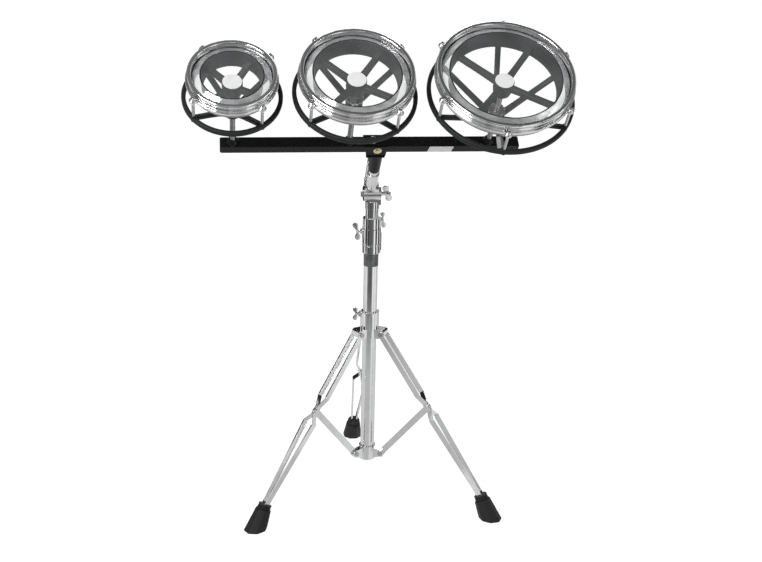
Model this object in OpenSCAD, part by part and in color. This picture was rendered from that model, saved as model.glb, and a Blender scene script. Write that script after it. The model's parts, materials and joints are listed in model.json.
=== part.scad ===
// Three rotary-tuned tom-toms on a black rail, carried by a double-braced chrome tripod stand.
// +X runs along the rail, +Y points away from the player, +Z is up, the floor is z = 0.
// The rail frame has its origin on the rail's top face, above the tilter; its z is the drums' axis.

/* [Drums] */
// Radius of the small drum head
small_r = 76.2; // [70:0.1:80]
// Radius of the medium drum head
medium_r = 101.6; // [96:0.1:104]
// Radius of the large drum head
large_r = 127; // [120:0.1:130]
// Place of the small drum's shaft along the rail
small_x = -301; // [-306:1:-296]
// Place of the medium drum's shaft along the rail
medium_x = -64; // [-70:1:-60]
// Place of the large drum's shaft along the rail
large_x = 226; // [220:1:235]
// Height of the medium drum's film above the rail's top face
film_n = 206.5; // [200:0.5:215]
// Radius of the threaded centre shafts
shaft_r = 5.5; // [5:0.1:6.5]
// Radius of the tension rods
rod_r = 3; // [2.5:0.1:3.5]
// Film thickness
film_t = 0.4; // [0.3:0.05:0.6]

/* [Rail] */
// Angle between the rail's top face and the floor
tilt = 39; // [20:1:50]
// Left end of the rail, measured from the column
rail_left = -325; // [-330:1:-322]
// Length of the rail
rail_len = 613; // [605:1:620]
// Depth of the rail, front to back
rail_d = 26; // [24:0.5:30]
// Height of the rail
rail_h = 18; // [16:0.5:20]
// Wall of the rail tube
rail_wall = 1.6; // [1.2:0.1:2]

/* [Stand] */
// Height of the tilter's hinge
tilter_z = 723; // [715:1:740]
// Distance from the tilter's hinge to the underside of the rail
post_reach = 159; // [155:1:165]
// Sideways place of the tilter's post
post_x = -4.5; // [-8:0.5:-3]
// Outer radius of the base tube
base_r = 16; // [15:0.1:17]
// Outer radius of the upper tube
upper_r = 14.3; // [13.5:0.1:14.6]
// Top of the base tube
base_top = 617; // [612:1:620]
// Height of the leg pivots on the collar
collar_z = 404; // [400:1:408]
// Height of the brace pivots on the lower hub
hub_z = 108; // [104:1:112]
// Distance of the leg pivots from the column's axis
collar_pivot_r = 32; // [31:0.5:34]
// Distance of the brace pivots from the column's axis
hub_pivot_r = 35; // [34:0.5:37]
// Distance of the feet from the column's axis
foot_r = 305; // [300:1:315]
// Distance of the foot sockets' mouths from the column's axis
sock_r = 280; // [270:1:285]
// Height of the foot sockets' mouths
sock_z = 54; // [50:1:58]
// Distance from a leg's top pivot to its brace pivot
knee_s = 197; // [190:1:200]

/* [Hidden] */
$fn = 64;
e = 0.01;

chrome = [0.80, 0.82, 0.84];
steel = [0.66, 0.67, 0.69];
black = [0.10, 0.10, 0.11];
casting = [0.20, 0.22, 0.22];
brass = [0.80, 0.68, 0.38];
rubber = [0.07, 0.07, 0.07];
white = [0.92, 0.92, 0.92];
film = [0.85, 0.88, 0.90];

// A drum is [head radius, shaft place, lift against the medium drum, lower hub drop, lugs, first lug].
SMALL = [small_r, small_x, -7, 6, 4, 36.5];
MEDIUM = [medium_r, medium_x, 0, 0, 4, 39];
LARGE = [large_r, large_x, -3, 34, 6, 24];
// Direction of the first of the four upper spokes
upper_spoke_a = 53;

// Drum section, as offsets from the head radius, and heights over the rail top for lift 0
rod_off = 15.4;
edge_off = -16.5;
ring_n = 139;
ring_h = 12;
label_n = 187;
ear_n = 193;
rod_top_n = 204;
flesh_n = 176;
flesh_top_n = 197;
hub_nut_n = 131;
upper_hub_n = 152;
hub_r = 17;
label_r = 18.7;

// The stand sits so that the whole object's box is centred on the origin.
ring_out = 21;
column_x = -(large_x + large_r + small_x - small_r) / 2;
drum_front = (large_r + rod_off + 8) * cos(tilt) + (post_reach + rail_h + ear_n) * sin(tilt);
column_y = (drum_front - foot_r - 24) / 2;

leg_a = [210, 330, 90];
leg_lean = atan((sock_r - collar_pivot_r) / (collar_z - sock_z));
leg_len = (collar_z - sock_z) / cos(leg_lean);
foot_lean = atan((foot_r - sock_r) / sock_z);
knee_r = collar_pivot_r + knee_s * sin(leg_lean);
knee_z = collar_z - knee_s * cos(leg_lean);
brace_lean = atan((knee_r - hub_pivot_r) / (knee_z - hub_z));
brace_len = (knee_z - hub_z) / cos(brace_lean);

// ---- frames ----

module at_column() {
    translate([column_x, column_y, 0]) children();
}

module at_tilter() {
    at_column() translate([0, 0, tilter_z]) rotate([tilt, 0, 0]) children();
}

module at_rail() {
    at_tilter() translate([0, 0, post_reach + rail_h]) children();
}

module at_drum(d) {
    at_rail() translate([d[1], 0, 0]) children();
}

// Puts a leg's own frame in place: z runs up the leg from its top pivot, x points outward.
module at_leg(i) {
    at_column() rotate([0, 0, leg_a[i]]) translate([collar_pivot_r, 0, collar_z])
        rotate([0, -leg_lean, 0]) children();
}

module at_brace(i) {
    at_column() rotate([0, 0, leg_a[i]]) translate([hub_pivot_r, 0, hub_z])
        rotate([0, brace_lean, 0]) children();
}

// Puts a foot's own frame in place: z runs up out of its socket's mouth.
module at_foot(i) {
    at_column() rotate([0, 0, leg_a[i]]) translate([sock_r, 0, sock_z])
        rotate([0, -foot_lean, 0]) children();
}

module around(count, first = 0) {
    for (k = [0 : count - 1]) rotate([0, 0, first + k * 360 / count]) children();
}

// A radial web: an outline of [radius, height] points given a width across the radius.
module web(width, points) {
    rotate([90, 0, 0]) linear_extrude(height = width, center = true) polygon(points);
}

module tube(r_out, r_in, z0, z1) {
    translate([0, 0, z0]) difference() {
        cylinder(r = r_out, h = z1 - z0);
        translate([0, 0, -1]) cylinder(r = r_in, h = z1 - z0 + 2);
    }
}

module disc(r, z0, z1) {
    translate([0, 0, z0]) cylinder(r = r, h = z1 - z0);
}

// ---- drums ----

module lower_frame(d) {
    r = d[0];
    ring0 = ring_n + d[2];
    hub1 = hub_nut_n - 0.3 + d[2] - d[3];
    web1 = hub1 - 13;
    color(casting) at_drum(d) difference() {
        union() {
            rotate_extrude() polygon([
                [r + 12.5, ring0 + 2], [r + 14.5, ring0], [r + ring_out - 3, ring0],
                [r + ring_out, ring0 + 3], [r + ring_out, ring0 + ring_h - 2],
                [r + ring_out - 2, ring0 + ring_h], [r + 12.5, ring0 + ring_h]]);
            around(d[4], d[5]) {
                translate([r + rod_off, 0, 0]) disc(5.4, ring0, ring0 + ring_h + 2);
                web(11, [[hub_r - 3, web1 - 8], [hub_r - 3, web1 + 4],
                    [r + 13, ring0 + ring_h - 1], [r + 14, ring0 + 3]]);
                web(4, [[hub_r - 3, web1 - 14], [hub_r - 3, web1], [r + 8, ring0 + 5]]);
            }
            disc(hub_r, web1 - 16, hub1);
        }
        disc(shaft_r + 0.05, web1 - 30, hub1 + 5);
        around(d[4], d[5]) translate([r + rod_off, 0, 0]) disc(rod_r + 0.05, ring0 - 2, ring0 + 30);
    }
}

module hub_nut(d) {
    nut0 = hub_nut_n + d[2] - d[3];
    color(steel) at_drum(d) difference() {
        disc(18, nut0, nut0 + 5);
        disc(shaft_r, nut0 - 1, nut0 + 6);
        around(12) translate([17.5, 0, 0]) disc(1.8, nut0 - 1, nut0 + 6);
    }
}

module upper_frame(d) {
    edge = d[0] + edge_off;
    n = d[2];
    top = film_n + n - film_t;
    color(casting) at_drum(d) difference() {
        union() {
            rotate_extrude() polygon([
                [edge - 0.9, top], [edge + 0.2, top], [edge + 1, top - 1], [edge - 2, top - 28],
                [edge - 2, top - 36], [edge - 5, top - 36], [edge - 5, top - 27],
                [edge - 3.4, top - 12], [edge - 2, top - 1]]);
            around(4, upper_spoke_a) web(12, [[18, 169 + n], [18, 182 + n],
                [edge - 4.4, top - 13], [edge - 4.4, top - 24]]);
            disc(20, upper_hub_n + n, label_n + n);
        }
        disc(shaft_r + 0.05, upper_hub_n - 1 + n, label_n - 6 + n);
    }
}

module hub_label(d) {
    color(white) at_drum(d) disc(label_r, label_n + d[2], label_n + d[2] + 0.6);
}

// Key-headed rods from the hoop's ears down into the lower ring.
module tension_rods(d) {
    n = d[2];
    color(chrome) at_drum(d) around(d[4], d[5]) translate([d[0] + rod_off, 0, n]) {
        disc(rod_r, ring_n, rod_top_n - 4);
        disc(6.4, ear_n + 4, ear_n + 5.4);
        disc(4.8, ear_n + 5.4, ear_n + 8);
        translate([-3.2, -3.2, ear_n + 8]) cube([6.4, 6.4, rod_top_n - ear_n - 8]);
    }
}

module hoop(d) {
    r = d[0];
    n = d[2];
    color(chrome) at_drum(d) difference() {
        union() {
            rotate_extrude() translate([r, n]) polygon([
                [0.5, flesh_top_n], [0.5, 210.5], [1.5, 212], [7.6, 212], [9.2, 210.6], [9.2, 207],
                [7.6, 207], [7.2, 209.4], [2.4, 209.4], [2.4, 199.4], [5.6, 199.4], [5.6, 196],
                [12, 196], [12, 190.5], [10.4, 190.5], [10.4, 194], [4, 194], [4, flesh_top_n]]);
            around(d[4], d[5]) {
                translate([r + rod_off, 0, n]) disc(7.6, ear_n, ear_n + 4);
                translate([r + 5, -7.6, ear_n + n]) cube([rod_off - 5, 15.2, 4]);
            }
        }
        around(d[4], d[5]) translate([r + rod_off, 0, n]) disc(rod_r + 0.2, ear_n - 5, ear_n + 9);
    }
}

module flesh_hoop(d) {
    color(steel) at_drum(d) rotate_extrude() translate([d[0], d[2]]) polygon([
        [-5, flesh_n], [3.4, flesh_n], [3.4, flesh_top_n], [1.6, flesh_top_n], [1.6, flesh_n + 3],
        [-3.4, flesh_n + 3], [-3.4, 190], [-5, 190]]);
}

// The film: flat over the bearing edge, a sloping collar, and a skirt held in the flesh hoop.
module head(d) {
    r = d[0];
    f = film_n - film_t;
    color(film) at_drum(d) rotate_extrude() translate([0, d[2]]) polygon([
        [0, f], [r + edge_off, f], [r + edge_off + 2, f - 0.6], [r - 2, 198.6], [r - 1.6, 184],
        [r - 1.6 + film_t, 184], [r - 1.4, 199.4], [r + edge_off + 2, f + 0.1],
        [r + edge_off, f + film_t], [0, f + film_t]]);
}

// Flat steel strap beside the large drum's front rod, from the flesh hoop down to the ring.
module strap(d) {
    color(steel) at_drum(d) translate([0, 0, d[2]]) hull() {
        translate([-34, -(d[0] + 5.5), flesh_n + 1]) cube([8, 1.2, 1]);
        translate([-28, -(d[0] + 13), ring_n + ring_h + 0.3]) cube([8, 1.2, 1]);
    }
}

// ---- rail ----

module drum_shafts() {
    color(steel) for (d = [SMALL, MEDIUM, LARGE]) at_drum(d) {
        collar1 = hub_nut_n + d[2] - d[3] - 30;
        disc(shaft_r, -12, label_n - 9 + d[2]);
        disc(shaft_r + 2.5, collar1 - 5, collar1);
    }
}

module shaft_feet() {
    color(black) for (d = [SMALL, MEDIUM, LARGE]) at_drum(d) difference() {
        union() {
            disc(12.4, 0, 4);
            translate([0, 0, 4]) cylinder(r1 = 12, r2 = 8.5, h = 8);
            translate([0, 0, -rail_wall - 6]) cylinder(r = 9, h = 6, $fn = 6);
        }
        disc(shaft_r, -14, 20);
    }
}

module rail() {
    color(black) at_rail() difference() {
        translate([rail_left, -rail_d / 2, -rail_h]) cube([rail_len, rail_d, rail_h]);
        translate([rail_left - 1, rail_wall - rail_d / 2, rail_wall - rail_h])
            cube([rail_len + 2, rail_d - 2 * rail_wall, rail_h - 2 * rail_wall]);
        for (x = [small_x, medium_x, large_x]) translate([x, 0, 0]) disc(shaft_r + 0.1, -4, 1);
        translate([post_x - bolt_off, 0, 0]) disc(4.2, -rail_h - 1, 1);
    }
}

module rail_end_caps() {
    gap = rail_wall + 0.2;
    color(black) at_rail() for (end = [0, 1]) translate([rail_left + end * rail_len, 0, 0])
        mirror([end, 0, 0]) {
            translate([-2, 0.8 - rail_d / 2, 0.8 - rail_h]) cube([2, rail_d - 1.6, rail_h - 1.6]);
            translate([-e, gap - rail_d / 2, gap - rail_h])
                cube([12, rail_d - 2 * gap, rail_h - 2 * gap]);
        }
}

module rail_tag() {
    color(white) at_rail() translate([98, -rail_d / 2, -rail_h / 2]) rotate([90, 0, 0])
        linear_extrude(height = 0.6) polygon([[0, -8], [50, -8], [54, 8], [4, 8]]);
}

bolt_off = 11;
block_n = -27;

// Black bracket: cheeks on both sides of the rail, a block under it and a tapered socket.
module rail_socket() {
    cheek = rail_d / 2 + 0.3;
    color(black) at_rail() translate([post_x, 0, 0]) difference() {
        union() {
            for (side = [0, 1]) mirror([0, side, 0]) translate([0, cheek, 0]) rotate([-90, 0, 0])
                linear_extrude(height = 3) polygon([[-30, -2], [18, -2], [18, 2], [16, -block_n],
                    [-22, -block_n], [-30, 2]]);
            translate([-22, -cheek - 1, block_n]) cube([38, 2 * cheek + 2, -rail_h - 0.1 - block_n]);
            translate([-24, -cheek - 6, block_n - 2]) cube([38.5, 2 * cheek + 12, 2 + e]);
            translate([0, 0, -91]) cylinder(r1 = 12.3, r2 = 14.3, h = 91 + block_n);
        }
        disc(9.6, -92, block_n - 4);
        translate([-bolt_off, 0, 0]) disc(4.05, block_n + 3, 1);
        translate([-2, 0, -9]) rotate([90, 0, 0]) disc(2.55, cheek - 1, cheek + 5);
    }
}

module rail_top_plate() {
    color(black) at_rail() translate([post_x, 0, 0]) difference() {
        translate([-29.7, -rail_d / 2, 0]) cube([47.4, rail_d, 3]);
        translate([-bolt_off, 0, 0]) disc(4.2, -1, 4);
    }
}

module bracket_bolt() {
    color(chrome) at_rail() translate([post_x - bolt_off, 0, 0]) {
        disc(4, block_n + 4, 4);
        disc(8.4, 3, 4.4);
        translate([0, 0, 4.4]) cylinder(r = 7.2, h = 5, $fn = 6);
    }
}

module bracket_screw() {
    cheek = rail_d / 2 + 3.3;
    color(brass) at_rail() translate([post_x - 2, 0, -9]) rotate([90, 0, 0]) {
        disc(8.6, cheek, cheek + 1.4);
        disc(4.6, cheek + 1.4, cheek + 4);
        disc(2.5, rail_d / 2 + 0.1, cheek + 2);
    }
}

// ---- stand ----

module base_tube() {
    color(chrome) at_column() tube(base_r, base_r - 1.5, hub_floor, base_top);
}

module tube_band() {
    color(steel) at_column() tube(base_r + 0.5, base_r, 560, 589);
}

hub_floor = 94;
hub_half = 6.8;

module lower_hub() {
    color(chrome) at_column() difference() {
        union() {
            disc(19, hub_floor - 4, 123);
            around(3, leg_a[2]) {
                web(2 * hub_half, [[12, 93], [hub_pivot_r, 99.6], [hub_pivot_r, 116.4], [12, 121]]);
                translate([hub_pivot_r, 0, hub_z]) rotate([90, 0, 0]) disc(8.5, -hub_half, hub_half);
            }
        }
        disc(base_r + 0.02, hub_floor, 140);
        around(3, leg_a[2]) {
            translate([base_r + 5.5, -1.9, 70]) cube([60, 3.8, 70]);
            translate([hub_pivot_r, 0, hub_z]) rotate([90, 0, 0]) disc(3.05, -10, 10);
        }
    }
}

module cross_rivet(r_hole, half) {
    rotate([90, 0, 0]) {
        disc(r_hole, -half, half);
        disc(r_hole + 2.4, half, half + 1.8);
        disc(r_hole + 2.4, -half - 1.8, -half);
    }
}

module lower_hub_rivets() {
    color(steel) at_column() around(3, leg_a[2]) translate([hub_pivot_r, 0, hub_z])
        cross_rivet(3, hub_half);
}

module leg_collar() {
    color(chrome) at_column() difference() {
        union() {
            disc(21.5, collar_z - 11, collar_z + 48);
            around(3, leg_a[2]) {
                translate([0, 0, collar_z]) web(2 * (strip_top_w - 1.2), [[14, -11], [28, -11], [40, -5], [40, 7],
                    [36, 10.5], [14, 10.5]]);
            }
            translate([-26, 0, collar_z + 42]) rotate([0, 90, 0]) disc(7, 0, 8);
        }
        disc(base_r + 0.05, collar_z - 20, collar_z + 60);
        around(3, leg_a[2]) {
            translate([collar_pivot_r, 0, collar_z]) rotate([90, 0, 0]) disc(3.05, -20, 20);
            rotate([0, 0, 60]) translate([18.5, -3, collar_z + 5]) cube([10, 6, 36]);
        }
        translate([0, 0, collar_z + 42]) rotate([0, -90, 0]) disc(3.05, 10, 40);
    }
}

module collar_rivets() {
    color(steel) at_column() around(3, leg_a[2]) translate([collar_pivot_r, 0, collar_z])
        cross_rivet(3, strip_top_w + strip_t / 2 + 0.1);
}

strip_t = 1.8;
strip_d = 11.6;
strip_lip = 3;
strip_top_w = 14;
strip_pinch_w = 3.2;
strip_bulge_w = 17;
strip_foot_w = 6.5;

// Centre line of one strip: [distance down the leg, sideways distance from the leg's plane].
strip_line = [[-10, strip_top_w], [knee_s - 36, strip_top_w], [knee_s - 12, strip_pinch_w],
    [knee_s + 10, strip_pinch_w], [knee_s + 28, strip_bulge_w], [leg_len - 6, strip_foot_w],
    [leg_len + 20, strip_foot_w]];

// Closed outline between the centre line moved inward and outward.
function strip_outline(inner, outer) = concat(
    [for (p = strip_line) [p[0], p[1] - inner]],
    [for (k = [len(strip_line) - 1 : -1 : 0]) [strip_line[k][0], strip_line[k][1] + outer]]);

module strip_layer(x0, x1, inner, outer) {
    translate([x0, 0, 0]) rotate([0, 90, 0]) linear_extrude(height = x1 - x0)
        polygon(strip_outline(inner, outer));
}

// One channel strip of a leg; its lips turn inward.
module leg_strip() {
    half = strip_d / 2;
    t = strip_t / 2;
    difference() {
        union() {
            strip_layer(-half, half, t, t);
            for (x0 = [-half, half - 1.4]) lip(x0);
            rotate([-90, 0, 0]) disc(7.5, strip_top_w - t, strip_top_w + t);
            translate([0, 0, -knee_s]) rotate([-90, 0, 0])
                disc(7.5, strip_pinch_w - t, strip_pinch_w + t);
        }
        rotate([-90, 0, 0]) disc(3.05, 0, 40);
        translate([0, 0, -knee_s]) rotate([-90, 0, 0]) disc(3.05, 0, 12);
    }
}

// A lip along the two straight stretches of a strip, from just past a bend to just short of the next.
module lip(x0) {
    for (run = [[12, knee_s - 38, strip_top_w, strip_top_w],
            [knee_s + 30, leg_len - 8, strip_bulge_w - 0.2, strip_foot_w + 0.2]])
        translate([x0, 0, 0]) rotate([0, 90, 0]) linear_extrude(height = 1.4)
            polygon([[run[0], run[2] - strip_lip], [run[0], run[2]],
                [run[1], run[3]], [run[1], run[3] - strip_lip]]);
}

// Two strips and the two half rivets of the brace pivot; the brace end runs free between them.
module leg(i) {
    at_leg(i) for (side = [0, 1]) mirror([0, side, 0]) {
        color(chrome) leg_strip();
        color(steel) translate([0, 0, -knee_s]) rotate([-90, 0, 0]) {
            disc(3, strip_pinch_w - strip_t / 2, strip_pinch_w + strip_t / 2 + e);
            disc(5.4, strip_pinch_w + strip_t / 2, strip_pinch_w + strip_t / 2 + 2);
        }
    }
}

// Eight-sided rubber foot with a ribbed neck, cut level with the floor.
module foot(i) {
    color(rubber) difference() {
        at_foot(i) difference() {
            union() {
                rotate([0, 0, 22.5]) translate([0, 0, -82]) cylinder(r1 = 27.6, r2 = 18.2, h = 71, $fn = 8);
                disc(13.4, -20, 0);
                disc(15, -3, 0);
                disc(15, -9.6, -6);
            }
            rotate([0, foot_lean - leg_lean, 0])
                translate([-strip_d / 2 - 0.4, -strip_foot_w - 1.2, -24])
                    cube([strip_d + 0.8, 2 * strip_foot_w + 2.4, 60]);
        }
        at_column() rotate([0, 0, leg_a[i]]) translate([foot_r - 80, -60, -160]) cube([160, 120, 160]);
    }
}

module brace(i) {
    color(chrome) at_brace(i) rotate([90, 0, 0]) difference() {
        union() {
            translate([-7.2, 0, -1.5]) cube([14.4, brace_len, 3]);
            disc(7.2, -1.5, 1.5);
            translate([0, brace_len, 0]) disc(7.2, -1.5, 1.5);
        }
        disc(3.05, -3, 3);
        translate([0, brace_len, 0]) disc(3.6, -3, 3);
    }
}

// Wing grip on the z axis: a boss and two wings, each with its own reach along the axis at the tip.
module wing(span, boss_r, boss_h, wing_r, wing_t, splay) {
    disc(boss_r, 0, boss_h);
    for (side = [0, 1]) mirror([side, 0, 0]) translate([0, 0, boss_h - wing_t / 2])
        rotate([90, 0, 0]) {
            translate([span / 2 - wing_r, splay[side], 0]) disc(wing_r, -wing_t / 2, wing_t / 2);
            translate([0, 0, -wing_t / 2]) linear_extrude(height = wing_t)
                polygon([[0, -boss_h / 2], [0, 2], [span / 2 - wing_r, splay[side] + wing_r * 0.9],
                    [span / 2 - wing_r * 0.6, splay[side] - wing_r * 0.9], [boss_r, -boss_h / 2]]);
        }
}

module collar_thumb_screw() {
    color(chrome) at_column() translate([-(base_r + 0.1), 0, collar_z + 42]) rotate([0, -90, 0]) {
        disc(3, 0, 14);
        translate([0, 0, 12]) wing(31, 4.6, 5, 5.6, 3, [2, 2]);
    }
}

clamp_z0 = 590;
clamp_z1 = 645;
clamp_bolt_z = 638;
lock_screw_z = clamp_z1 + 18;

module tube_clamp() {
    color(chrome) at_column() difference() {
        union() {
            disc(20.5, clamp_z0, clamp_z0 + 17);
            disc(19.5, clamp_z0 + 17, clamp_z0 + 21);
            disc(21, clamp_z0 + 21, clamp_z1);
            translate([0, 0, clamp_bolt_z]) rotate([0, -90, 0]) disc(6.8, 15, 24);
            translate([12, -7, clamp_z0 + 6]) cube([9.5, 14, 40]);
        }
        disc(base_r + 0.02, clamp_z0 - 1, clamp_z1 - 2);
        disc(upper_r + 0.3, clamp_z0, clamp_z1 + 1);
        translate([14, -1.2, clamp_z0 - 1]) cube([20, 2.4, 57]);
        translate([0, 0, clamp_bolt_z]) rotate([0, -90, 0]) disc(3.05, 10, 40);
    }
}

module clamp_bush() {
    color(black) at_column() tube(base_r, upper_r + 0.08, base_top + 0.2, clamp_z1 - 2.2);
}

module clamp_wing_bolt() {
    color(chrome) at_column() translate([-(base_r + 0.15), 0, clamp_bolt_z])
        rotate([0, -90, 0]) rotate([0, 0, 6]) {
            disc(3, 0, 14);
            translate([0, 0, 12]) wing(42, 5, 6, 6.4, 3.4, [4, -2]);
        }
}

module upper_tube() {
    color(chrome) at_column() tube(upper_r, upper_r - 1.5, 400, 700);
}

module memory_lock() {
    color(chrome) at_column() difference() {
        union() {
            disc(20, clamp_z1 + 0.4, clamp_z1 + 24);
            translate([0, 0, lock_screw_z]) rotate([0, 90, 0]) disc(5.6, 15, 20.6);
        }
        disc(upper_r + 0.05, clamp_z1, clamp_z1 + 30);
        translate([-30, -1, clamp_z1 - 1]) cube([20, 2, 40]);
        translate([0, 0, lock_screw_z]) rotate([0, 90, 0]) disc(2.55, 10, 40);
    }
}

module memory_lock_screw() {
    color(chrome) at_column() translate([upper_r + 0.15, 0, lock_screw_z]) rotate([0, 90, 0]) {
        disc(2.5, 0, 9);
        translate([0, 0, 6.6]) rotate([0, 0, 8]) wing(38, 4.4, 4.6, 5.6, 3, [2.6, -1.2]);
    }
}

// The tilter's hinge runs along X; all of these are drawn round it.
module tilter_base() {
    color(chrome) at_column() difference() {
        union() {
            disc(15.8, 690, 706);
            translate([-12, 0, tilter_z]) rotate([0, 90, 0]) disc(16.5, 0, 30);
            translate([-12, -12, 700]) cube([30, 24, 20]);
        }
        disc(upper_r + 0.02, 680, 700.1);
        translate([-20, 0, tilter_z]) rotate([0, 90, 0]) disc(4.05, 0, 60);
    }
}

module tilter_top() {
    color(chrome) at_tilter() difference() {
        union() {
            translate([-20, 0, 0]) rotate([0, 90, 0]) disc(16.5, 0, 7.6);
            translate([-20, -9, 6]) cube([7.6, 18, 24]);
            translate([post_x - 14, -11, 18.5]) cube([30, 22, 10]);
            translate([post_x, 0, 0]) {
                disc(13, 28, 74);
                disc(11, 50, 84);
                disc(9.5, 74, 140);
            }
            translate([post_x - 13, 13.5, 24]) cube([5.5, 6, 100]);
            translate([post_x - 14, 4, 24]) cube([8, 15.5, 8]);
        }
        translate([-30, 0, 0]) rotate([0, 90, 0]) disc(4.05, 0, 60);
    }
}

module tilter_bolt() {
    color(steel) at_tilter() rotate([0, 90, 0]) {
        disc(4, -21, 40);
        translate([0, 0, -25]) cylinder(r = 7.4, h = 4.7, $fn = 6);
    }
}

module tilter_wing_nut() {
    color(chrome) at_column() translate([18.2, 0, tilter_z]) rotate([0, 90, 0]) difference() {
        union() {
            disc(7, 0, 1.6);
            disc(5.4, 1.6, 11);
            translate([0, 0, 10]) rotate([0, 0, 24]) wing(42, 7.4, 8, 7.4, 4, [3, -6]);
        }
        disc(4.05, -1, 30);
    }
}

base_tube();
tube_band();
lower_hub();
lower_hub_rivets();
tube_clamp();
clamp_bush();
clamp_wing_bolt();
leg_collar();
collar_rivets();
collar_thumb_screw();
leg(0);  // leg_left
leg(1);  // leg_right
leg(2);  // leg_rear
foot(0);  // foot_left
foot(1);  // foot_right
foot(2);  // foot_rear
brace(0);  // brace_left
brace(1);  // brace_right
brace(2);  // brace_rear
upper_tube();
memory_lock();
memory_lock_screw();
tilter_base();
tilter_top();
tilter_bolt();
tilter_wing_nut();
rail_socket();
rail_top_plate();
bracket_bolt();
bracket_screw();
rail();
rail_end_caps();
rail_tag();
drum_shafts();
shaft_feet();
lower_frame(SMALL);  // small_lower_frame
hub_nut(SMALL);  // small_hub_nut
upper_frame(SMALL);  // small_upper_frame
hub_label(SMALL);  // small_hub_label
tension_rods(SMALL);  // small_tension_rods
hoop(SMALL);  // small_hoop
flesh_hoop(SMALL);  // small_flesh_hoop
head(SMALL);  // small_head
lower_frame(MEDIUM);  // medium_lower_frame
hub_nut(MEDIUM);  // medium_hub_nut
upper_frame(MEDIUM);  // medium_upper_frame
hub_label(MEDIUM);  // medium_hub_label
tension_rods(MEDIUM);  // medium_tension_rods
hoop(MEDIUM);  // medium_hoop
flesh_hoop(MEDIUM);  // medium_flesh_hoop
head(MEDIUM);  // medium_head
lower_frame(LARGE);  // large_lower_frame
hub_nut(LARGE);  // large_hub_nut
upper_frame(LARGE);  // large_upper_frame
hub_label(LARGE);  // large_hub_label
tension_rods(LARGE);  // large_tension_rods
hoop(LARGE);  // large_hoop
flesh_hoop(LARGE);  // large_flesh_hoop
head(LARGE);  // large_head
strap(LARGE);  // large_strap
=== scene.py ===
# Looks for three rotary-tuned tom-toms on a rail and tripod stand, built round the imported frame.
# Metres throughout; mm() turns millimetres into metres. Places come from the frame's joints and boxes.
import json
import math

import bpy
from mathutils import Matrix, Vector


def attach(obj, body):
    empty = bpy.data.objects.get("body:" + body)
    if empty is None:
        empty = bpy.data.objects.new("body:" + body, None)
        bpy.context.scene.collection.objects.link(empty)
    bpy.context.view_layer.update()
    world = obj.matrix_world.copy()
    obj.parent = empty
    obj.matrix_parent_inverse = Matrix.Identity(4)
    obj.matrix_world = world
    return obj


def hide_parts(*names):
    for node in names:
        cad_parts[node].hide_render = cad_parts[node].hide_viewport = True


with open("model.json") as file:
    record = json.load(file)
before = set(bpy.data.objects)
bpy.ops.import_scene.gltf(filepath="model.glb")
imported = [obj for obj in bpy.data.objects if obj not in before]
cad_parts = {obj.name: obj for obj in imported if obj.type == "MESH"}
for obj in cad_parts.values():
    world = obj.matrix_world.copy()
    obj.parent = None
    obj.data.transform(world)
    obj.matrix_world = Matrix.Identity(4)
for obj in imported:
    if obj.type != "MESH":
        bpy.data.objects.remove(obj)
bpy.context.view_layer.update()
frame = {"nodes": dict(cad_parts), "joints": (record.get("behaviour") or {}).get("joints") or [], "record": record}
JOINTS = {j["name"]: j for j in frame["joints"]}
TAU = 2 * math.pi


def mm(*values):
    """Millimetres as metres: one number, or a tuple of them."""
    scaled = tuple(v * 0.001 for v in values)
    return scaled if len(scaled) > 1 else scaled[0]


# ---- materials ----

def new_material(name):
    material = bpy.data.materials.new(name)
    material.use_nodes = True
    tree = material.node_tree
    shader = tree.nodes["Principled BSDF"]
    return material, tree, shader


def add(tree, kind, **inputs):
    node = tree.nodes.new(kind)
    for key, value in inputs.items():
        node.inputs[key.replace("_", " ")].default_value = value
    return node


def object_noise(tree, scale, detail=3.0, stretch=(1, 1, 1)):
    """A noise texture in the piece's own space."""
    place = tree.nodes.new("ShaderNodeTexCoord")
    mapping = add(tree, "ShaderNodeMapping", Scale=stretch)
    noise = add(tree, "ShaderNodeTexNoise", Scale=scale, Detail=detail)
    tree.links.new(place.outputs["Object"], mapping.inputs["Vector"])
    tree.links.new(mapping.outputs["Vector"], noise.inputs["Vector"])
    return noise


def ramp_between(tree, source, low, high, start=0.35, end=0.65):
    ramp = tree.nodes.new("ShaderNodeValToRGB")
    ramp.color_ramp.elements[0].position = start
    ramp.color_ramp.elements[1].position = end
    ramp.color_ramp.elements[0].color = low
    ramp.color_ramp.elements[1].color = high
    tree.links.new(source, ramp.inputs["Fac"])
    return ramp


def grey(value, alpha=1.0):
    return (value, value, value, alpha)


def coated(name, low, high, metallic, rough, rough_spread, noise_scale, bump, edge, stretch):
    """A material whose colour, roughness and surface vary a little, with softened edges."""
    material, tree, shader = new_material(name)
    shader.inputs["Metallic"].default_value = metallic
    noise = object_noise(tree, noise_scale, stretch=stretch)
    colour = ramp_between(tree, noise.outputs["Fac"], low, high)
    tree.links.new(colour.outputs["Color"], shader.inputs["Base Color"])
    rough_ramp = ramp_between(tree, noise.outputs["Fac"], grey(rough), grey(rough + rough_spread))
    tree.links.new(rough_ramp.outputs["Color"], shader.inputs["Roughness"])
    bevel = tree.nodes.new("ShaderNodeBevel")
    bevel.samples = 4
    bevel.inputs["Radius"].default_value = edge
    relief = add(tree, "ShaderNodeBump", Strength=bump, Distance=0.0004)
    tree.links.new(noise.outputs["Fac"], relief.inputs["Height"])
    tree.links.new(bevel.outputs["Normal"], relief.inputs["Normal"])
    tree.links.new(relief.outputs["Normal"], shader.inputs["Normal"])
    return material, shader


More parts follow.
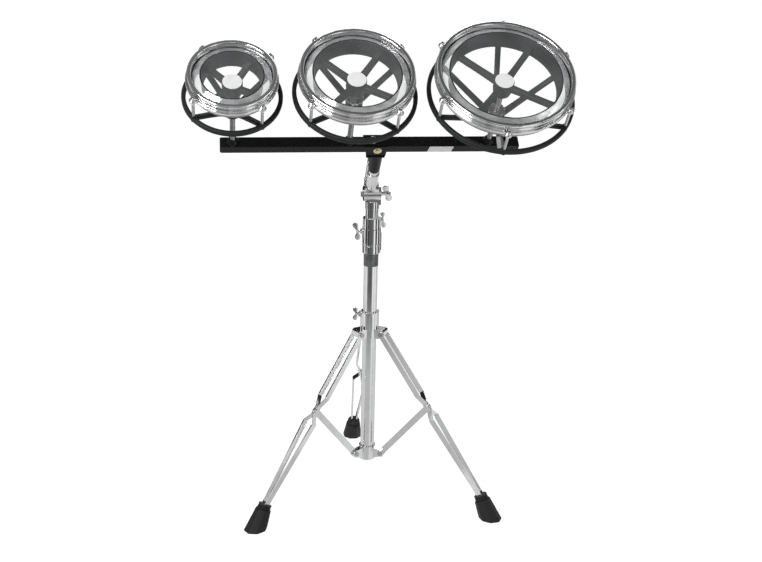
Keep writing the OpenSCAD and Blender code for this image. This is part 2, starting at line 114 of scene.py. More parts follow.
# Plain coats: (name, low colour, high colour, metallic, roughness, spread, noise scale, relief, edge in mm,
# specular level or None).
COATS = {
    "chrome": ("chrome_plate", (0.84, 0.84, 0.84, 1), (0.90, 0.91, 0.92, 1), 1.0, 0.04, 0.05, 60, 0.012, 0.8,
               None),
    "zinc": ("bright_zinc", (0.48, 0.48, 0.47, 1), (0.62, 0.62, 0.61, 1), 1.0, 0.24, 0.14, 140, 0.15, 0.4,
             None),
    "steel": ("threaded_steel", (0.40, 0.41, 0.41, 1), (0.58, 0.58, 0.57, 1), 1.0, 0.22, 0.12, 160, 0.15, 0.2,
              None),
    "black": ("semi_gloss_black", (0.004, 0.004, 0.004, 1), (0.009, 0.010, 0.009, 1), 0.0, 0.24, 0.12, 220,
              0.12, 0.9, 0.28),
    "casting": ("grey_powder_coat", (0.016, 0.018, 0.019, 1), (0.028, 0.031, 0.032, 1), 0.2, 0.42, 0.14, 420,
                0.35, 0.8, 0.3),
    "brass": ("polished_brass", (0.66, 0.57, 0.36, 1), (0.84, 0.76, 0.55, 1), 1.0, 0.14, 0.1, 90, 0.08, 0.4,
              None),
    "rubber": ("foot_rubber", (0.004, 0.004, 0.004, 1), (0.009, 0.009, 0.008, 1), 0.0, 0.48, 0.2, 300, 0.5, 1.0,
               None),
    "label": ("plain_label", (0.86, 0.86, 0.86, 1), (0.91, 0.91, 0.91, 1), 0.0, 0.34, 0.1, 80, 0.05, 0.2, None),
    "flesh": ("satin_aluminium", (0.42, 0.42, 0.42, 1), (0.56, 0.56, 0.56, 1), 0.9, 0.30, 0.12, 120, 0.12, 0.4,
              None),
    "bush": ("nylon", (0.02, 0.02, 0.02, 1), (0.03, 0.03, 0.03, 1), 0.0, 0.45, 0.1, 120, 0.1, 0.3, None),
    # band: the column tube's band, a darker chrome with upright streaks; its darkness and streaks are a painted
    # reflection.
    "band": ("painted_reflection_band", (0.10, 0.11, 0.11, 1), (0.30, 0.31, 0.31, 1), 0.8, 0.25, 0.2, 90, 0.1, 0.2, None),
    "film_edge": ("film_edge", (0.008, 0.008, 0.008, 1), (0.014, 0.014, 0.014, 1), 0.0, 0.30, 0.1, 200, 0.05,
                  0.1, None),
}


def make_materials():
    looks = {}
    for slot, (name, low, high, metallic, rough, spread, scale, relief, edge, specular) in COATS.items():
        # The band's noise is drawn out upright into streaks: the painted reflection streaks on the tube.
        stretch = (1, 1, 0.4) if slot == "band" else (1, 1, 1)
        material, shader = coated(name, low, high, metallic, rough, spread, scale, relief, mm(edge), stretch)
        if specular is not None:
            shader.inputs["Specular IOR Level"].default_value = specular
        looks[slot] = material
    looks["film"] = film_material()
    looks["collar"] = collar_material()
    return looks


def film_material():
    """Clear polyester: mostly see-through, with a mirror-like skin and faint brush marks."""
    material, tree, shader = new_material("clear_film")
    shader.inputs["Base Color"].default_value = (0.92, 0.94, 0.95, 1)
    shader.inputs["Roughness"].default_value = 0.06
    shader.inputs["IOR"].default_value = 1.55
    noise = object_noise(tree, 14, 4)
    cloud = ramp_between(tree, noise.outputs["Fac"], grey(0.055), grey(0.095))
    tree.links.new(cloud.outputs["Color"], shader.inputs["Alpha"])
    relief = add(tree, "ShaderNodeBump", Strength=0.06, Distance=0.0008)
    tree.links.new(noise.outputs["Fac"], relief.inputs["Height"])
    tree.links.new(relief.outputs["Normal"], shader.inputs["Normal"])
    return material


def collar_material():
    """The film's sloping collar and skirt, which catch the light."""
    material, tree, shader = new_material("film_collar")
    shader.inputs["Base Color"].default_value = (0.88, 0.90, 0.91, 1)
    shader.inputs["Metallic"].default_value = 0.4
    shader.inputs["Roughness"].default_value = 0.12
    noise = object_noise(tree, 30, 3, (1, 1, 2))
    cloud = ramp_between(tree, noise.outputs["Fac"], grey(0.35), grey(0.60))
    tree.links.new(cloud.outputs["Color"], shader.inputs["Alpha"])
    return material


LOOKS = make_materials()


# ---- mesh helpers ----

class Shape:
    """Collects points (metres, row frame) and faces for one piece."""

    def __init__(self):
        self.points = []
        self.faces = []
        self.slots = []

    def loft(self, sections, capped=True, closed=False, slot=0):
        """Joins closed outlines of equal length, one after another."""
        base = len(self.points)
        width = len(sections[0])
        for section in sections:
            self.points.extend(Vector(p) for p in section)
        count = len(sections)
        for k in range(count if closed else count - 1):
            low, high = base + k * width, base + ((k + 1) % count) * width
            for i in range(width):
                j = (i + 1) % width
                self.faces.append((low + i, low + j, high + j, high + i))
                self.slots.append(slot)
        if capped and not closed:
            self.faces.append(tuple(base + i for i in reversed(range(width))))
            self.faces.append(tuple(base + (count - 1) * width + i for i in range(width)))
            self.slots.extend([slot, slot])

    def lathe(self, place, outline, segments):
        """Turns an outline of (radius, height) about the z axis of the matrix place."""
        sections = []
        for k in range(segments):
            a = TAU * k / segments
            sections.append([place @ Vector((r * math.cos(a), r * math.sin(a), h)) for r, h in outline])
        self.loft(sections, closed=True)

    def solid_turn(self, place, outline, segments=48):
        """A turned solid: the outline runs from the axis at the bottom to the axis at the top."""
        rings = []
        for r, h in outline:
            rings.append([place @ Vector((max(r, 1e-5) * math.cos(TAU * k / segments),
                                          max(r, 1e-5) * math.sin(TAU * k / segments), h))
                          for k in range(segments)])
        self.loft(rings)

    def piece(self, name, body, slot, materials, replaced=(), smooth_angle=35):
        mesh = bpy.data.meshes.new(name)
        mesh.from_pydata(self.points, [], self.faces)
        for look in materials:
            mesh.materials.append(look)
        for polygon, index in zip(mesh.polygons, self.slots):
            polygon.material_index = index
        mesh.validate()
        obj = bpy.data.objects.new(name, mesh)
        bpy.context.scene.collection.objects.link(obj)
        mesh.polygons.foreach_set("use_smooth", [True] * len(mesh.polygons))
        mesh.set_sharp_from_angle(angle=math.radians(smooth_angle))
        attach(obj, body)
        if replaced:
            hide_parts(*replaced)
        return obj


def rounded(points, radius, steps=3):
    """A closed outline with its corners rounded; radius is one number or one for each corner."""
    out = []
    count = len(points)
    for i, p in enumerate(points):
        r = radius[i] if isinstance(radius, (list, tuple)) else radius
        p = Vector((p[0], p[1]))
        before = Vector(points[i - 1][:2]) - p
        after = Vector(points[(i + 1) % count][:2]) - p
        if r <= 0:
            out.append((p.x, p.y))
            continue
        reach = min(r, before.length * 0.45, after.length * 0.45)
        a = p + before.normalized() * reach
        b = p + after.normalized() * reach
        for k in range(steps + 1):
            t = k / steps
            q = a * (1 - t) ** 2 + p * 2 * t * (1 - t) + b * t ** 2
            out.append((q.x, q.y))
    return out


def round_rect(width, height, radius, steps=3):
    w, h = width / 2, height / 2
    return rounded([(-w, -h), (w, -h), (w, h), (-w, h)], radius, steps)


def turned(axis_matrix, angle):
    return axis_matrix @ Matrix.Rotation(angle, 4, "Z")


# ---- frames taken from the joints ----

TILT_PIVOT = Vector(JOINTS["tilt"]["pos_m"])
DRUM_AXIS = Vector(JOINTS["rail_swivel"]["axis"]).normalized()
RAIL_REACH = mm(177)


def rail_place(x):
    """A frame on the rail's top face: z along the drums' axis, x along the rail, measured from the column."""
    across = DRUM_AXIS.cross(Vector((1, 0, 0)))
    turn = Matrix((Vector((1, 0, 0)), across, DRUM_AXIS)).transposed().to_4x4()
    return Matrix.Translation(TILT_PIVOT + DRUM_AXIS * RAIL_REACH) @ turn @ Matrix.Translation((x, 0, 0))


class Drum:
    """One drum's sizes in metres; heights are above the rail's top face."""

    def __init__(self, name, radius, x, lift, drop, lugs, first_lug):
        self.name = name
        self.r = mm(radius)
        self.place = rail_place(mm(x))
        self.lift = mm(lift)
        self.drop = mm(drop)
        self.lug_places = [turned(self.place, math.radians(first_lug + k * 360 / lugs)) for k in range(lugs)]
        self.ring = mm(139) + self.lift
        self.film = mm(206.5) + self.lift
        self.nut = mm(131) + self.lift - self.drop


DRUMS = [Drum("small", 76.2, -301, -7, 6, 4, 36.5), Drum("medium", 101.6, -64, 0, 0, 4, 39),
         Drum("large", 127, 226, -3, 34, 6, 24)]
RIM_SEGMENTS = 144
HOOP_SEGMENTS = 160
ROD_OFF = mm(15.4)
EDGE_OFF = mm(-16.5)
UPPER_SPOKE = math.radians(53)


def spoke(shape, place, width, ends, corner, steps=8, crown=0.0):
    """A bar along the radius: each end is (radius, low, high)."""
    (r0, low0, high0), (r1, low1, high1) = ends
    sections = []
    for k in range(steps + 1):
        t = k / steps
        r = r0 + (r1 - r0) * t
        low, high = low0 + (low1 - low0) * t, high0 + (high1 - high0) * t
        w = width * (1 + crown * (2 * t - 1) ** 2)
        outline = round_rect(w, high - low, corner)
        sections.append([place @ Vector((r, y, (low + high) / 2 + z)) for y, z in outline])
    shape.loft(sections)


def lower_frame(d):
    shape = Shape()
    r, z = d.r, d.ring
    section = [(12.5, 1), (14.5, 0), (18.5, 0), (21, 3), (21, 10), (19, 12), (12.5, 12)]
    outline = rounded([(r + mm(a), z + mm(b)) for a, b in section], mm(2.2), 4)
    shape.lathe(d.place, outline, RIM_SEGMENTS)
    top = d.nut - mm(0.3)
    root = top - mm(13)
    hub = mm(14)
    for place in d.lug_places:
        boss = place @ Matrix.Translation((r + ROD_OFF, 0, 0))
        shape.solid_turn(boss, [(0, z), (mm(5), z), (mm(5.4), z + mm(0.6)), (mm(5.4), z + mm(13.2)),
                                (mm(4.6), z + mm(14)), (0, z + mm(14))], 32)
        bar = ((hub, root - mm(8), root + mm(4)), (r + mm(13.6), z + mm(3), z + mm(11)))
        rib = ((hub, root - mm(14), root), (r + mm(8), z + mm(4.5), z + mm(6)))
        spoke(shape, place, mm(11), bar, mm(3), crown=0.12)
        spoke(shape, place, mm(4), rib, mm(1.2))
    low = root - mm(16)
    shape.solid_turn(d.place, [(0, low), (mm(15.4), low), (mm(16.6), low + mm(1.2)), (mm(17), low + mm(3)),
                               (mm(17), top - mm(1.4)), (mm(15.8), top), (0, top)])
    name = f"{d.name}_lower_frame"
    shape.piece(f"{name}_cast", f"{d.name}_drum", "casting", [LOOKS["casting"]], [name])


def upper_frame(d):
    shape = Shape()
    edge = d.r + EDGE_OFF
    top = d.film - mm(0.4)
    outline = [(edge - mm(0.9), top), (edge + mm(0.2), top), (edge + mm(1), top - mm(1)),
               (edge - mm(1.6), top - mm(27)), (edge - mm(2), top - mm(36)), (edge - mm(5), top - mm(36)),
               (edge - mm(5), top - mm(27)), (edge - mm(3.4), top - mm(12)), (edge - mm(2), top - mm(1))]
    shape.lathe(d.place, rounded(outline, mm(0.7), 2), RIM_SEGMENTS)
    base = d.lift
    for k in range(4):
        place = turned(d.place, UPPER_SPOKE + k * TAU / 4)
        spoke(shape, place, mm(12), ((mm(16), mm(169) + base, mm(182) + base),
                                     (edge - mm(3.6), top - mm(24), top - mm(13))), mm(3), crown=0.15)
    low, high = mm(152) + base, mm(187) + base
    shape.solid_turn(d.place, [(0, low), (mm(14), low), (mm(17), low + mm(2)), (mm(19), low + mm(10)),
                               (mm(20), low + mm(16)), (mm(20), high - mm(1.6)), (mm(18.8), high), (0, high)])
    name = f"{d.name}_upper_frame"
    shape.piece(f"{name}_cast", f"{d.name}_tuner", "casting", [LOOKS["casting"]], [name])


def hoop(d):
    """A flanged steel hoop with a rolled top edge and a pierced ear at every lug."""
    shape = Shape()
    r, lift = d.r, d.lift
    corners = [(0.5, 197), (0.5, 210), (1.9, 212), (7.4, 212), (9.2, 210.4), (9.2, 207.2), (7.8, 207.2),
               (7.0, 209.4), (2.8, 209.4), (2.4, 199.6), (5.4, 199.4), (5.8, 196.2), (12, 196), (12, 190.5),
               (10.6, 190.5), (10.2, 194), (4, 194.2), (4, 197)]
    outline = rounded([(r + mm(a), mm(b) + lift) for a, b in corners], mm(1.3), 3)
    shape.lathe(d.place, outline, HOOP_SEGMENTS)
    ear = mm(193) + lift
    for place in d.lug_places:
        half, thick = mm(7.6), mm(4)
        tip = d.r + ROD_OFF
        plan = [(r + mm(5), -half)] + [(tip + half * math.cos(a), half * math.sin(a))
                                       for a in [math.radians(-90 + 15 * k) for k in range(13)]]
        plan.append((r + mm(5), half))
        levels = [(0, 0.93), (0.5, 1.0), (thick * 1000 - 0.6, 1.0), (thick * 1000, 0.93)]
        sections = []
        for z, grow in levels:
            level = [(tip + (x - tip) * grow, y * grow, ear + mm(z)) for x, y in plan]
            sections.append([place @ Vector(p) for p in level])
        shape.loft(sections)
    name = f"{d.name}_hoop"
    shape.piece(f"{name}_chrome", f"{d.name}_drum", "chrome", [LOOKS["chrome"]], [name])


def thread_outline(radius, low, high, pitch, depth):
    """Fine ridges up a rod, as (radius, height) points."""
    count = max(2, int((high - low) / pitch))
    out = []
    for k in range(count):
        z = low + (high - low) * k / count
        step = (high - low) / count
        out += [(radius - depth, z), (radius, z + step * 0.4), (radius, z + step * 0.6)]
    return out + [(radius - depth, high)]


def tension_rods(d):
    shape = Shape()
    ear = mm(193) + d.lift
    for place in d.lug_places:
        rod = place @ Matrix.Translation((d.r + ROD_OFF, 0, 0))
        low = d.ring
        shank = thread_outline(mm(3), low, ear - mm(8), mm(1.0), mm(0.35))
        shape.solid_turn(rod, [(0, low)] + shank + [(mm(2.9), ear + mm(4)), (0, ear + mm(4))], 20)
        washer = ear + mm(4)
        section = [(0, 0), (6.2, 0), (6.4, 0.3), (6.4, 1.1), (6.1, 1.4), (0, 1.4)]
        shape.solid_turn(rod, [(mm(q), washer + mm(h)) for q, h in section], 32)
        collar = washer + mm(1.4)
        section = [(0, 0), (4.6, 0), (4.8, 0.4), (4.7, 2.2), (4.1, 2.6), (0, 2.6)]
        shape.solid_turn(rod, [(mm(q), collar + mm(h)) for q, h in section], 32)
        key = collar + mm(2.6)
        tip = mm(204) + d.lift
        sections = []
        for z, side in ((key, 6.4), (tip - mm(0.8), 6.4), (tip, 5.4)):
            sections.append([rod @ Vector((x, y, z)) for x, y in round_rect(mm(side), mm(side), mm(0.8))])
        shape.loft(sections)
    name = f"{d.name}_tension_rods"
    shape.piece(f"{name}_chrome", f"{d.name}_drum", "chrome", [LOOKS["chrome"]], [name], 30)


def head(d):
    """Clear film over the bearing edge, a bright sloping collar and a dark line where it bends."""
    shape = Shape()
    r, lift = d.r, d.lift
    flat = d.film
    bend = r + EDGE_OFF
    slope = [(bend + mm(2), flat - mm(0.5)), (r - mm(1.4), mm(199.4) + lift), (r - mm(1.2), mm(184) + lift)]
    rings = [(1e-5, flat)] + [(bend * k / 12, flat) for k in range(1, 12)] + [(bend - mm(0.6), flat)]
    place = d.place
    turns = [TAU * k / RIM_SEGMENTS for k in range(RIM_SEGMENTS)]

    def band(outline, slot):
        sections = [[place @ Vector((q * math.cos(a), q * math.sin(a), h)) for a in turns] for q, h in outline]
        shape.loft(sections, capped=False, slot=slot)

    band(rings, 0)
    band([(bend - mm(0.6), flat), (bend + mm(0.6), flat - mm(0.05)), (bend + mm(1.4), flat - mm(0.25))], 1)
    band([(bend + mm(1.4), flat - mm(0.25))] + slope, 2)
    name = f"{d.name}_head"
    looks = [LOOKS["film"], LOOKS["film_edge"], LOOKS["collar"]]
    shape.piece(f"{name}_film", f"{d.name}_tuner", "film", looks, [name], 60)


def shafts():
    """The three threaded centre shafts, each with its stop collar."""
    shape = Shape()
    for d in DRUMS:
        top = mm(178) + d.lift
        stop = d.nut - mm(30)
        outline = [(0, mm(-12))] + thread_outline(mm(5.5), mm(-12), top, mm(1.75), mm(0.55)) + [(0, top)]
        shape.solid_turn(d.place, outline, 28)
        ring = [(mm(5), stop - mm(5)), (mm(8), stop - mm(5)), (mm(8), stop), (mm(5), stop)]
        shape.lathe(d.place, rounded(ring, mm(0.6)), 48)
    shape.piece("drum_shafts_threaded", "rail_body", "steel", [LOOKS["steel"]], ["drum_shafts"], 50)


# ---- stand details ----

COLUMN = Vector(JOINTS["post_swivel"]["pos_m"]).xy.to_3d()


def frame_along(origin, axis, up):
    """A frame with z along axis and x along up."""
    z = Vector(axis).normalized()
    x = (Vector(up) - z * Vector(up).dot(z)).normalized()
    return Matrix.Translation(origin) @ Matrix((x, z.cross(x), z)).transposed().to_4x4()


def lobe(shape, place, sign, span, boss, wing_r, thick, splay, steps=14):
    """One wing: a flattened bar from the boss that swells into a round tip."""
    root = Vector((0, boss * 0.5))
    tip = Vector((span / 2 - wing_r, boss - thick / 2 + splay))
    way = tip - root
    length = way.length
    ahead = way / length
    side = Vector((-ahead.y, ahead.x))
    sections = []
    for k in range(steps + 1):
        d = (length + wing_r) * k / steps
        swell = max(0.0, min(1.0, (d / length - 0.25) / 0.6))
        half = wing_r * (0.52 + 0.48 * swell * swell * (3 - 2 * swell))
        if d > length - wing_r * 0.3:
            half = math.sqrt(max(wing_r ** 2 - (d - length) ** 2, (wing_r * 0.12) ** 2))
        centre = root + ahead * d
        t = thick * (1.25 - 0.35 * k / steps)
        if k == steps:
            t *= 0.6
        ring = []
        for i in range(20):
            a = TAU * i / 20
            u = math.copysign(abs(math.cos(a)) ** 0.7, math.cos(a)) * half
            v = math.copysign(abs(math.sin(a)) ** 0.7, math.sin(a)) * t / 2
            q = centre + side * u
            ring.append(place @ Vector((sign * q.x, v, q.y)))
        sections.append(ring if sign > 0 else ring[::-1])
    shape.loft(sections)


def wing_screw(joint, start, screw, span, boss_r, boss, wing_r, thick, splays, roll):
    """A wing bolt or nut: splays are how far the lower and the upper tip lean outward."""
    j = JOINTS[joint]
    axis = Vector(j["axis"])
    up = Matrix.Rotation(math.radians(roll), 3, axis) @ Vector((0, 0, 1))
    place = frame_along(Vector(j["pos_m"]) + axis * start, axis, up)
    shape = Shape()
    if screw[0] > 0:
        radius, reach = screw
        outline = [(0, -reach)] + thread_outline(radius, -reach, mm(0.5), mm(0.9), mm(0.3)) + [(0, mm(0.5))]
        shape.solid_turn(place, outline, 24)
    shape.solid_turn(place, [(0, 0), (boss_r * 0.86, 0), (boss_r, boss * 0.18), (boss_r * 0.94, boss * 0.8),
                             (boss_r * 0.72, boss), (0, boss)], 40)
    for sign, splay in zip((-1, 1), splays):
        lobe(shape, place, sign, span, boss, wing_r, thick, splay)
    return shape


# Node, joint, body, start along the axis, screw (radius, reach), span, boss radius and height, tip radius,
# thickness, lean of the lower and upper tip, then the roll in degrees; lengths in mm.
WINGS = (
    ("clamp_wing_bolt", "clamp_bolt_turn", "clamp_bolt", 12.15, (3, 12), 42, 5, 6, 6.4, 3.4, (-2, 4), -6),
    ("collar_thumb_screw", "collar_screw_turn", "collar_screw", 12.1, (3, 12), 31, 4.6, 5, 5.6, 3, (2, 2), 0),
    ("memory_lock_screw", "lock_screw_turn", "lock_screw", 6.55, (2.5, 6.4), 38, 4.4, 4.6, 5.6, 3,
     (2.6, -1.2), 8),
)


def wing_screws():
    chrome = [LOOKS["chrome"]]
    for node, joint, body, start, screw, span, boss_r, boss, wing_r, thick, splays, roll in WINGS:
        shape = wing_screw(joint, mm(start), mm(*screw), mm(span), mm(boss_r), mm(boss), mm(wing_r),
                           mm(thick), mm(*splays), roll)
        shape.piece(f"{node}_cast", body, "chrome", chrome, [node], 40)
    shape = wing_screw("tilter_nut_turn", mm(10), (0, 0), mm(42), mm(7.4), mm(8), mm(7.4), mm(4),
                       mm(3, -6), 24)
    j = JOINTS["tilter_nut_turn"]
    place = frame_along(Vector(j["pos_m"]), j["axis"], (0, 0, 1))
    shape.solid_turn(place, [(0, 0), (mm(7), 0), (mm(7), mm(1.6)), (mm(5.4), mm(1.7)), (mm(5), mm(10.5)),
                             (0, mm(10.5))], 40)
    shape.piece("tilter_wing_nut_cast", "tilter_nut", "chrome", chrome, ["tilter_wing_nut"], 40)


def foot(side):
    """An eight-sided rubber foot with a ribbed neck, worn level with the floor."""
    rest = next(m for m in frame["record"]["mounts"] if m["name"] == f"foot_{side}_rest")
    out = (Vector(rest["pos_m"]) - COLUMN).xy.to_3d()
    mouth = COLUMN + out.normalized() * mm(280) + Vector((0, 0, mm(54)))
    place = frame_along(mouth, mouth - Vector(rest["pos_m"]), out)
    shape = Shape()
    low_r, high_r, low, high = mm(27.6), mm(18.2), mm(-82), mm(-11)
    eighth = [math.radians(22.5 + 45 * k) for k in range(8)]

    def outline(radius, h):
        corners = [(radius * math.cos(a), radius * math.sin(a)) for a in eighth]
        return [place @ Vector((x, y, h)) for x, y in rounded(corners, mm(2.2), 3)]

    top = outline(high_r * 0.90, high)
    shoulder = outline(high_r + (low_r - high_r) * 0.03, high - mm(2))
    foot_low = outline(low_r, low)
    floor_ring, edge_ring = [], []
    for a, b in zip(shoulder, foot_low):
        t = a.z / (a.z - b.z)
        near = (a.z - mm(1.2)) / (a.z - b.z)
        edge_ring.append(a.lerp(b, near))
        worn = a.lerp(b, t)
        worn = worn.lerp(Vector((rest["pos_m"][0], rest["pos_m"][1], 0)), 0.03)
        floor_ring.append(Vector((worn.x, worn.y, 0)))
    middle = [a.lerp(b, 0.5) for a, b in zip(shoulder, edge_ring)]
    shape.loft([floor_ring, edge_ring, middle, shoulder, top])
    neck = [(0, mm(-14)), (mm(13.2), mm(-14)), (mm(13.2), mm(-10)), (mm(15), mm(-9.4)), (mm(15.1), mm(-6.4)),
            (mm(13.3), mm(-5.8)), (mm(13.3), mm(-3.6)), (mm(15), mm(-3)), (mm(15.1), mm(-0.8)), (mm(14.2), 0),
            (mm(8), mm(-0.4)), (0, mm(-0.4))]
    shape.solid_turn(place, neck, 48)
    shape.piece(f"foot_{side}_rubber", f"leg_{side}_body", "rubber", [LOOKS["rubber"]], [f"foot_{side}"], 28)


wing_screws()
for side in ("left", "right", "rear"):
    foot(side)
for drum in DRUMS:
    lower_frame(drum)
    upper_frame(drum)
    hoop(drum)
    tension_rods(drum)
    head(drum)
shafts()


# ---- CAD pieces that keep their shape ----

def dress_cad():
    slots = {s["node"]: s["material_slot"] for s in frame["record"]["subparts"]}
    for name, obj in frame["nodes"].items():
        obj.data.materials.clear()
        # The tube's band gets the darker streaked chrome, a painted reflection; the other pieces keep their own
        # coats.
        obj.data.materials.append(LOOKS["band" if name == "tube_band" else slots[name]])


dress_cad()


# ---- floor, light and camera ----

# Bands of grey that only the chrome sees on the floor, by direction from the column.
FLOOR_BANDS = ((-180, 0.72), (-158, 0.90), (-146, 0.20), (-118, 0.10), (-84, 0.12), (-70, 0.30), (-64, 0.92),
               (-44, 0.92), (-38, 0.35), (-32, 0.88), (0, 0.80), (20, 0.35), (35, 0.72), (80, 0.84),
               (110, 0.30), (125, 0.66), (180, 0.72))


def round_ramp(tree, angle, stops):
    """Greys laid round the stand: stops are (degrees from -180 to 180, value)."""
    remap = add(tree, "ShaderNodeMapRange", From_Min=-math.pi, From_Max=math.pi)
    ramp = tree.nodes.new("ShaderNodeValToRGB")
    tree.links.new(angle, remap.inputs["Value"])
    tree.links.new(remap.outputs["Result"], ramp.inputs["Fac"])
    elements = ramp.color_ramp.elements
    elements[0].position, elements[0].color = 0.0, grey(stops[0][1])
    elements[1].position, elements[1].color = 1.0, grey(stops[-1][1])
    for degrees, value in stops[1:-1]:
        elements.new((degrees + 180) / 360).color = grey(value)
    return ramp


def floor():
    """A white floor: evenly lit for the camera, banded for the chrome, and a paler grey for the rest."""
    bpy.ops.mesh.primitive_plane_add(size=80, location=(0, 0, -0.0002))
    plane = bpy.context.object
    plane.name = "floor"
    material, tree, shader = new_material("floor_white")
    path = tree.nodes.new("ShaderNodeLightPath")
    base = tree.nodes.new("ShaderNodeMix")
    base.data_type = "RGBA"
    base.inputs["A"].default_value = grey(0.62)
    base.inputs["B"].default_value = grey(0.30)
    tree.links.new(path.outputs["Is Camera Ray"], base.inputs["Factor"])
    tree.links.new(base.outputs["Result"], shader.inputs["Base Color"])
    shader.inputs["Roughness"].default_value = 0.8
    shader.inputs["Emission Color"].default_value = grey(1.0)
    lift = add(tree, "ShaderNodeMath")
    lift.operation = "MULTIPLY"
    lift.inputs[1].default_value = 0.88
    tree.links.new(path.outputs["Is Camera Ray"], lift.inputs[0])
    tree.links.new(lift.outputs["Value"], shader.inputs["Emission Strength"])
    place = tree.nodes.new("ShaderNodeTexCoord")
    split = tree.nodes.new("ShaderNodeSeparateXYZ")
    tree.links.new(place.outputs["Object"], split.inputs["Vector"])
    angle = tree.nodes.new("ShaderNodeMath")
    angle.operation = "ARCTAN2"
    tree.links.new(split.outputs["Y"], angle.inputs[0])
    tree.links.new(split.outputs["X"], angle.inputs[1])
    bands = round_ramp(tree, angle.outputs["Value"], FLOOR_BANDS)
    reach = tree.nodes.new("ShaderNodeVectorMath")
    reach.operation = "LENGTH"
    tree.links.new(place.outputs["Object"], reach.inputs[0])
    share = add(tree, "ShaderNodeMapRange", From_Min=0.7, From_Max=1.5, To_Min=0.25, To_Max=1.0)
    tree.links.new(reach.outputs["Value"], share.inputs["Value"])
    near = tree.nodes.new("ShaderNodeMix")
    near.data_type = "RGBA"
    near.inputs["A"].default_value = grey(0.64)
    tree.links.new(share.outputs["Result"], near.inputs["Factor"])
    tree.links.new(bands.outputs["Color"], near.inputs["B"])
    glow = add(tree, "ShaderNodeEmission", Strength=1.0)
    tree.links.new(near.outputs["Result"], glow.inputs["Color"])
    either = tree.nodes.new("ShaderNodeMixShader")
    tree.links.new(path.outputs["Is Glossy Ray"], either.inputs["Fac"])
    tree.links.new(shader.outputs["BSDF"], either.inputs[1])
    tree.links.new(glow.outputs["Emission"], either.inputs[2])
    tree.links.new(either.outputs["Shader"], tree.nodes["Material Output"].inputs["Surface"])
    plane.data.materials.append(material)


def dark_card(name, centre, size, value):
    """A standing board that only mirror-like surfaces see; it gives the chrome its dark streaks."""
    bpy.ops.mesh.primitive_plane_add(size=1, location=centre)
    card = bpy.context.object
    card.name = name
    card.scale = (size[0], size[1], 1)
    aim = Vector((0, 0, centre[2])) - Vector(centre)
    card.rotation_euler = aim.to_track_quat("Z", "Y").to_euler()
    material, _, shader = new_material(name)
    shader.inputs["Base Color"].default_value = grey(value)
    shader.inputs["Roughness"].default_value = 1.0
    shader.inputs["Specular IOR Level"].default_value = 0.0
    card.data.materials.append(material)
    card.visible_camera = False
    card.visible_diffuse = False
    card.visible_shadow = False
    card.visible_transmission = False


def area_light(name, place, target, size, power):
    data = bpy.data.lights.new(name, "AREA")
    data.shape = "RECTANGLE"
    data.size, data.size_y = size
    data.energy = power
    obj = bpy.data.objects.new(name, data)
    bpy.context.scene.collection.objects.link(obj)
    obj.location = place
    obj.rotation_euler = (Vector(target) - Vector(place)).to_track_quat("-Z", "Y").to_euler()


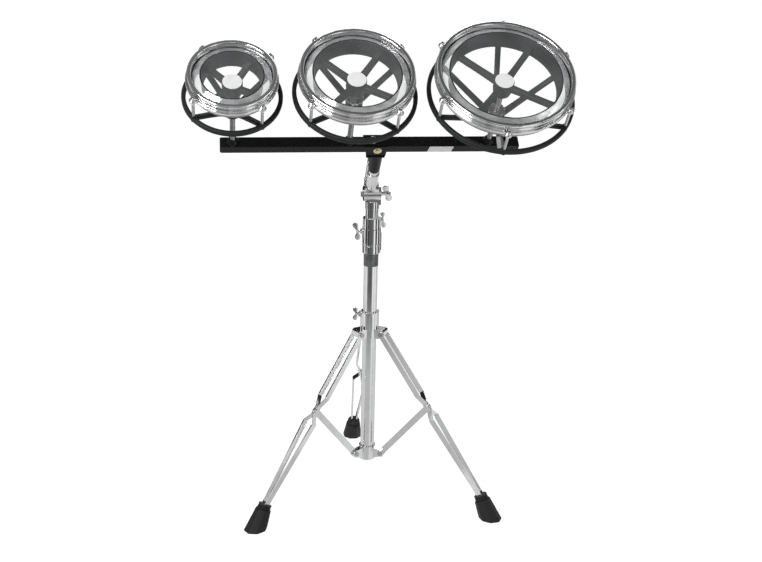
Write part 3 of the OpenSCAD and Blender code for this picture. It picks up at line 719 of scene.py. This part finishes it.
def studio():
    world = bpy.data.worlds.new("studio")
    bpy.context.scene.world = world
    world.use_nodes = True
    tree = world.node_tree
    back = tree.nodes["Background"]
    place = tree.nodes.new("ShaderNodeTexCoord")
    split = tree.nodes.new("ShaderNodeSeparateXYZ")
    tree.links.new(place.outputs["Generated"], split.inputs["Vector"])
    ramp = tree.nodes.new("ShaderNodeValToRGB")
    remap = tree.nodes.new("ShaderNodeMapRange")
    remap.inputs["From Min"].default_value = -1
    remap.inputs["From Max"].default_value = 1
    tree.links.new(split.outputs["X"], remap.inputs["Value"])
    tree.links.new(remap.outputs["Result"], ramp.inputs["Fac"])
    stops = [(0.0, 0.75), (0.22, 1.0), (0.36, 0.35), (0.46, 0.95), (0.60, 0.42), (0.74, 1.0), (1.0, 0.7)]
    elements = ramp.color_ramp.elements
    elements[0].position, elements[0].color = stops[0][0], grey(stops[0][1])
    elements[1].position, elements[1].color = stops[-1][0], grey(stops[-1][1])
    for position, value in stops[1:-1]:
        elements.new(position).color = grey(value)
    height = tree.nodes.new("ShaderNodeMapRange")
    height.inputs["From Min"].default_value = 0.25
    height.inputs["From Max"].default_value = 0.85
    height.inputs["To Min"].default_value = 1.0
    height.inputs["To Max"].default_value = 0.22
    tree.links.new(split.outputs["Z"], height.inputs["Value"])
    dim = tree.nodes.new("ShaderNodeMix")
    dim.data_type = "RGBA"
    dim.blend_type = "MULTIPLY"
    dim.inputs["Factor"].default_value = 1.0
    tree.links.new(ramp.outputs["Color"], dim.inputs["A"])
    tree.links.new(height.outputs["Result"], dim.inputs["B"])
    tree.links.new(dim.outputs["Result"], back.inputs["Color"])
    back.inputs["Strength"].default_value = 0.9
    area_light("key", (-2.2, -2.4, 3.2), (0, 0, 0.8), (1.6, 1.6), 100)
    area_light("fill", (2.6, -1.8, 2.2), (0, 0, 0.7), (1.2, 2.0), 20)
    area_light("back", (0.4, 2.8, 2.6), (0, 0, 0.8), (2.4, 1.2), 40)
    cards = ((196, 0.8, 0.02), (226, 0.4, 0.03), (256, 0.30, 0.06), (290, 0.28, 0.03), (322, 0.7, 0.02),
             (0, 0.7, 0.03), (45, 0.8, 0.03), (95, 0.9, 0.02), (150, 0.8, 0.03))
    for k, (angle, width, value) in enumerate(cards):
        a = math.radians(angle)
        reach = 3.4 if 240 < angle < 300 else 1.9
        dark_card(f"card_{k}", (reach * math.cos(a), reach * math.sin(a), 0.9), (width, 2.2), value)


def camera():
    """The photograph's viewpoint, given from the column's axis on the floor."""
    column = Vector(JOINTS["post_swivel"]["pos_m"]).xy.to_3d()
    yaw, pitch, roll = (math.radians(a) for a in (-7.90, 18.27, 1.35))
    ahead = Vector((-math.sin(yaw) * math.cos(pitch), math.cos(yaw) * math.cos(pitch), -math.sin(pitch)))
    right = Vector((math.cos(yaw), math.sin(yaw), 0))
    up = right.cross(ahead)
    rolled_right = right * math.cos(roll) + up * math.sin(roll)
    rolled_up = up * math.cos(roll) - right * math.sin(roll)
    data = bpy.data.cameras.new("camera")
    data.lens = 56.63
    data.sensor_width = 36
    obj = bpy.data.objects.new("camera", data)
    bpy.context.scene.collection.objects.link(obj)
    turn = Matrix((rolled_right, rolled_up, -ahead)).transposed().to_4x4()
    obj.matrix_world = Matrix.Translation(column + Vector((-0.3254, -2.5146, 1.3600))) @ turn
    bpy.context.scene.camera = obj


floor()
studio()
camera()
bpy.context.scene.view_settings.view_transform = "Standard"
